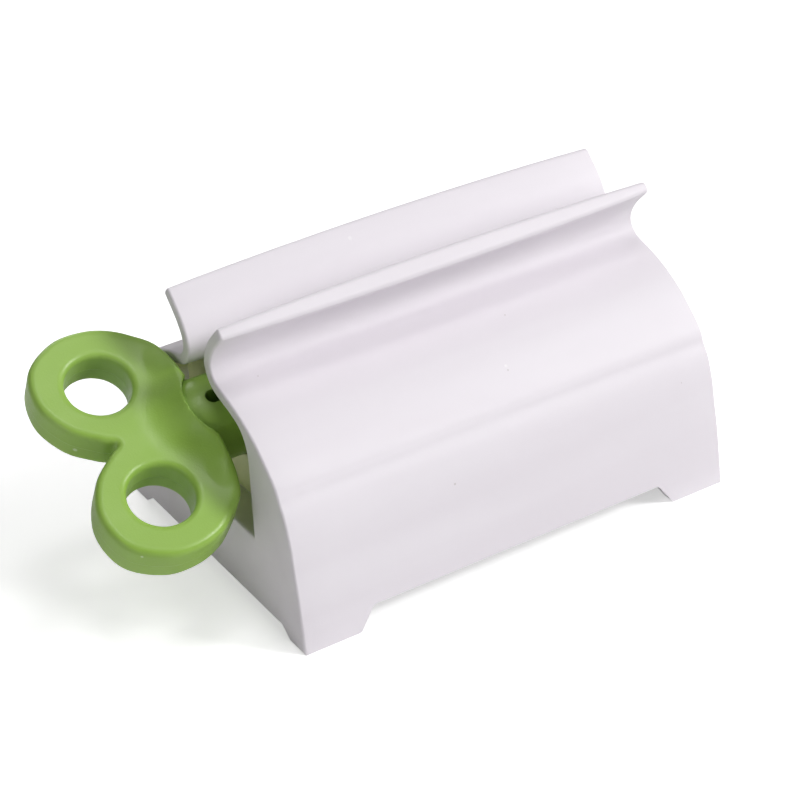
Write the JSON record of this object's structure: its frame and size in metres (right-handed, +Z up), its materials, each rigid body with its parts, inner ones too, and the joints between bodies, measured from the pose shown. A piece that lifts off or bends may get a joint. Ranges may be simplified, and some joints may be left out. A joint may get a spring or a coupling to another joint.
{
  "type": "toothpaste tube squeezer",
  "caption": "Tabletop tube squeezer: a slotted housing with flared lips, and a key with two finger rings whose split shaft winds up the tube.",
  "frame": {"origin": "on the surface that the feet stand on, below the middle of the whole object's length and width", "axes": "+X runs along the housing away from the key's handle, +Z is up through the slot, and the front faces -Y"},
  "size_m": [0.1156, 0.0636, 0.0545],
  "materials": {
    "housing_plastic": "satin white",
    "key_plastic": "satin green"
  },
  "bodies": {
    "housing_body": {"housing": "housing_plastic"},
    "key_body": {"winding_key": "key_plastic"}
  },
  "joints": [
    {"name": "key_turn", "type": "hinge", "parent": "housing_body", "child": "key_body", "pos_m": [0.01283, 0, 0.031], "axis": [1, 0, 0], "continuous": true}
  ]
}
